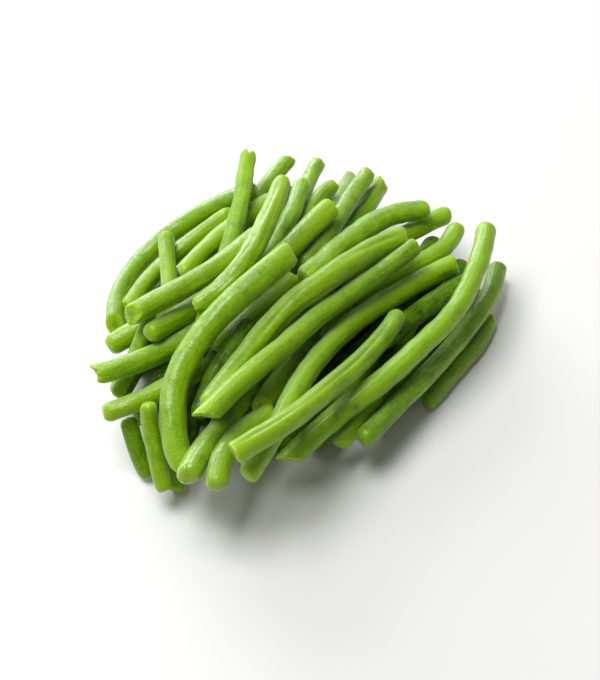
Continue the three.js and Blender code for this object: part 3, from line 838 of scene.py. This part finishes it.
# The pale green of the painted highlight.
PAINTED_HIGHLIGHT_GREEN = (0.360, 0.500, 0.2700, 1)
GREEN_STOPS = [(0.10, PAINTED_SHADE_GREEN), (0.33, DEEP_GREEN), (0.52, MID_GREEN), (0.76, LIGHT_GREEN)]
LIGHTNESS = {"streaks": 0.38, "clouds": 0.37, "mottle": 0.25, "tone": 0.09}
SPECKS = {"mottle": 0.5, "pores": 0.5}
SPECK_LIMITS = (0.30, 0.64)
LIT_TONES = (-3.0, -1.0)
WARM_SHARE = 0.35
SEAM_SHARE = 0.25
SPOT_SHARE = 0.85
TIP_SHARE = 0.75
TIP_SHARPNESS = 1.5
PAINTED_HIGHLIGHT_OFF_TIPS = 0.7
HEART_LIMITS = (0.15, 0.55)
RIM_LIMITS = (0.78, 0.95)
CUT_LIMITS = (0.05, 0.6)
print(f"{len(GREEN_STOPS)} greens in the ramp of the skin")

# %% Mix the colour of a bean
def skin_colour(bench, seen):
    """The colour of the skin: the ramp's green, then warmth, seam, spot, tips and a painted
    highlight.
    """
    # lit is low where the tone is painted shade, and keeps warmth, seam, tips and painted highlight
    # off there.
    lit = bench.between(seen["tone"], *LIT_TONES)
    ramp_input = {"Fac": blended(seen, LIGHTNESS)}
    colour = bench.add("ShaderNodeValToRGB", {"stops": GREEN_STOPS}, ramp_input, "Color")
    colour = bench.mix((seen["warmth"] * 0.5 + 0.5) * lit * WARM_SHARE, colour, WARM_GREEN)
    colour = bench.mix(seen["seam"] * lit * SEAM_SHARE, colour, LIGHT_GREEN)
    colour = bench.mix(seen["spot"] * SPOT_SHARE, colour, SPOT_BROWN)
    colour = bench.mix((seen["tip"] ** TIP_SHARPNESS) * lit * TIP_SHARE, colour, FRESH_CUT)
    # A painted pale highlight in specks, on the side that faces the lights.
    specks = bench.between(blended(seen, SPECKS), *SPECK_LIMITS)
    painted_sheen = seen["bloom"] * specks * lit * (1.0 - seen["tip"] * PAINTED_HIGHLIGHT_OFF_TIPS)
    return bench.mix(painted_sheen, colour, PAINTED_HIGHLIGHT_GREEN)


def bean_colour(bench, seen):
    """The skin's colour, and on a cut face the heart's, the flesh's and the rim's."""
    face = bench.mix(bench.between(seen["share"], *HEART_LIMITS), CUT_HEART, FRESH_CUT)
    # The rim is partly the skin's own edge and partly a painted highlight.
    face = bench.mix(bench.between(seen["share"], *RIM_LIMITS), face, RIM_AND_PAINTED_HIGHLIGHT)
    return bench.mix(bench.between(seen["cut"], *CUT_LIMITS), skin_colour(bench, seen), face)


print(f"at a tip, up to {TIP_SHARE:.0%} of the colour is that of a fresh cut")

# %% [markdown]
# Wet skin and soft flesh
#
# The skin is waxy and wet. A rough base with a smoother coat over it gives a broad soft shine
# with livelier patches, where water stands on the skin. A little of the light goes into the
# flesh and comes out beside where it went in, which the shader's subsurface part does, and a
# faint sheen lightens the edges. Deep in the heap a sheen would make the gaps grey, so the beans
# there have a second material with hardly any. Fine relief is a bump, because a mesh that holds
# pores would be far too heavy.

# %% Build the bean finish
RELIEF = {"wrinkles": 0.8, "mottle": 0.7, "pores": 1.5}
RELIEF_STRENGTH = 0.70
RELIEF_HEIGHT = 0.0006
WET_PATCHES = {"streaks": 0.35, "mottle": 0.3, "pores": 0.35}
WET_LIMITS = (0.40, 0.58)
WET = 0.80
DAMP = 0.26
ROUGH = 0.42
ROUGHER_MOTTLE = 0.14
ROUGHER_CUT = 0.12
SHOWN_SHEEN = 0.26
SHADED_SHEEN = 0.05
SHADED_START = HIDDEN_START + ("middle_dark",)
FLESH_AND_COAT = {
    "Subsurface Weight": 0.35, "Subsurface Scale": 0.0032, "Subsurface Radius": (0.55, 1.0, 0.10),
    "Coat Roughness": 0.25, "Coat IOR": 1.42, "IOR": 1.33,
    "Sheen Roughness": 0.30, "Sheen Tint": (0.9, 1.0, 0.85, 1.0),
    "Specular Tint": (0.60, 1.0, 0.20, 1.0),
}


def bean_finish(name, sheen):
    """The finish of a bean: skin, tips and cut faces in one material, with a pale sheen."""
    bench = Bench(name)
    seen = bean_patterns(bench)
    bump = {"Strength": RELIEF_STRENGTH, "Distance": RELIEF_HEIGHT, "Height": blended(seen, RELIEF)}
    patches = bench.between(blended(seen, WET_PATCHES), *WET_LIMITS)
    skin = bench.add("ShaderNodeBsdfPrincipled", {}, {
        **FLESH_AND_COAT,
        "Sheen Weight": sheen,
        "Base Color": bean_colour(bench, seen),
        "Roughness": ROUGH + seen["mottle"] * ROUGHER_MOTTLE + seen["cut"] * ROUGHER_CUT,
        "Coat Weight": (patches * WET + DAMP - seen["cut"] * DAMP) * seen["shine"],
        "Normal": bench.add("ShaderNodeBump", {}, bump, "Normal"),
    }, "BSDF")
    bench.add("ShaderNodeOutputMaterial", {}, {"Surface": skin})
    return bench.material


shown_finish = bean_finish("bean_skin", SHOWN_SHEEN)
shaded_finish = bean_finish("bean_skin_shaded", SHADED_SHEEN)
for name, bean in beans.items():
    bean.data.materials.append(shaded_finish if name.startswith(SHADED_START) else shown_finish)
print(f"{len(shown_finish.node_tree.nodes)} nodes in each of the two bean finishes")

# %% [markdown]
# The ground
#
# The heap lies on a plain pale ground. A square plane would show its corners from a low eye, so
# the ground is a wide disc whose edge is far away. Its finish is nearly even, with clouds too
# faint to notice, because the beans are what is looked at.

# %% Make the ground
GROUND_RADIUS = 4.0
GROUND_SIDES = 96
GROUND_CLOUDS = 6.0
GROUND_GREY = (0.71, 0.71, 0.71, 1)
GROUND_PALE = (0.75, 0.75, 0.74, 1)
GROUND_ROUGH = 0.7


def ground_finish():
    """A plain pale ground with a hardly visible cloudiness."""
    bench = Bench("pale_ground")
    place = bench.add("ShaderNodeTexCoord", {}, {}, "Object")
    colour = bench.mix(bench.noise(place, GROUND_CLOUDS), GROUND_GREY, GROUND_PALE)
    inputs = {"Base Color": colour, "Roughness": GROUND_ROUGH}
    surface = bench.add("ShaderNodeBsdfPrincipled", {}, inputs, "BSDF")
    bench.add("ShaderNodeOutputMaterial", {}, {"Surface": surface})
    return bench.material


turn = np.arange(GROUND_SIDES) * 2 * math.pi / GROUND_SIDES
rim = GROUND_RADIUS * np.stack([np.cos(turn), np.sin(turn), np.zeros(GROUND_SIDES)], axis=1)
ground_mesh = bpy.data.meshes.new("ground")
ground_mesh.from_pydata(rim, [], [list(range(GROUND_SIDES))])
ground_mesh.materials.append(ground_finish())
ground = bpy.data.objects.new("ground", ground_mesh)
bpy.context.scene.collection.objects.link(ground)
print(f"ground {2 * GROUND_RADIUS:.0f} m across")

# %% [markdown]
# The lights
#
# Food looks moist when the light comes from behind it, because wet skin throws it towards the
# eye. One large soft light stands behind the heap on the left. A second, lower one grazes the
# upper left flank of each bean, and a third hangs overhead and fills the green. A weak light
# from all sides keeps the shaded flanks from going black. A lamp that is small would be simpler,
# but its hard points of shine would make the beans look like plastic.

# %% Hang the lights
LIGHT_AIM = Vector((0, 0, 0.016))
LIGHTS = {  # place and size in metres, and strength in watts
    "back_light": ((-0.50, 1.05, 0.55), 0.90, 10.5),
    "edge_light": ((-0.80, 1.05, 0.20), 0.90, 7.5),
    "top_light": ((-0.45, 0.05, 1.35), 0.80, 21.0),
}
ALL_ROUND_COLOUR = (1, 0.99, 0.93, 1)
ALL_ROUND_STRENGTH = 0.22


def soft_light(name, place, size, watts):
    """A square area light at a place, turned towards the heap."""
    data = bpy.data.lights.new(name, "AREA")
    data.shape = "SQUARE"
    data.size = size
    data.energy = watts
    light = bpy.data.objects.new(name, data)
    bpy.context.scene.collection.objects.link(light)
    light.location = place
    light.rotation_euler = (LIGHT_AIM - Vector(place)).to_track_quat("-Z", "Y").to_euler()


for light_name, (place, size, watts) in LIGHTS.items():
    soft_light(light_name, place, size, watts)
world = bpy.data.worlds.new("studio")
world.use_nodes = True
world.node_tree.nodes["Background"].inputs["Color"].default_value = ALL_ROUND_COLOUR
world.node_tree.nodes["Background"].inputs["Strength"].default_value = ALL_ROUND_STRENGTH
bpy.context.scene.world = world
bpy.context.scene.view_settings.view_transform = "Standard"
print(f"{len(LIGHTS)} lights with {sum(watts for place, size, watts in LIGHTS.values())} watts")

# %% [markdown]
# The camera
#
# The camera looks down on the heap at fifty degrees, from a little over half a metre. A camera
# could be pointed by hand, but worked out from the distance, the angle and the point that it
# aims at, it can be checked. The lens follows from the size of the picture: its height is so
# many pixels, and an object as wide as it is far away would cover FOCAL_PIXELS of them.

# %% Place the camera
AIM_POINT = Vector((-0.0023508, -0.0107856, 0.016))
EYE_DISTANCE = 0.58
LOOK_DOWN = math.radians(50)
FOCAL_PIXELS = 1813
PICTURE_HEIGHT = 680
camera_data = bpy.data.cameras.new("camera")
camera_data.lens = camera_data.sensor_width * FOCAL_PIXELS / PICTURE_HEIGHT
camera = bpy.data.objects.new("camera", camera_data)
bpy.context.scene.collection.objects.link(camera)
away = Vector((0, -math.cos(LOOK_DOWN), math.sin(LOOK_DOWN)))
camera.location = AIM_POINT + EYE_DISTANCE * away
camera.rotation_euler = (math.pi / 2 - LOOK_DOWN, 0, 0)
bpy.context.scene.camera = camera
print(f"lens {camera_data.lens:.1f} mm")
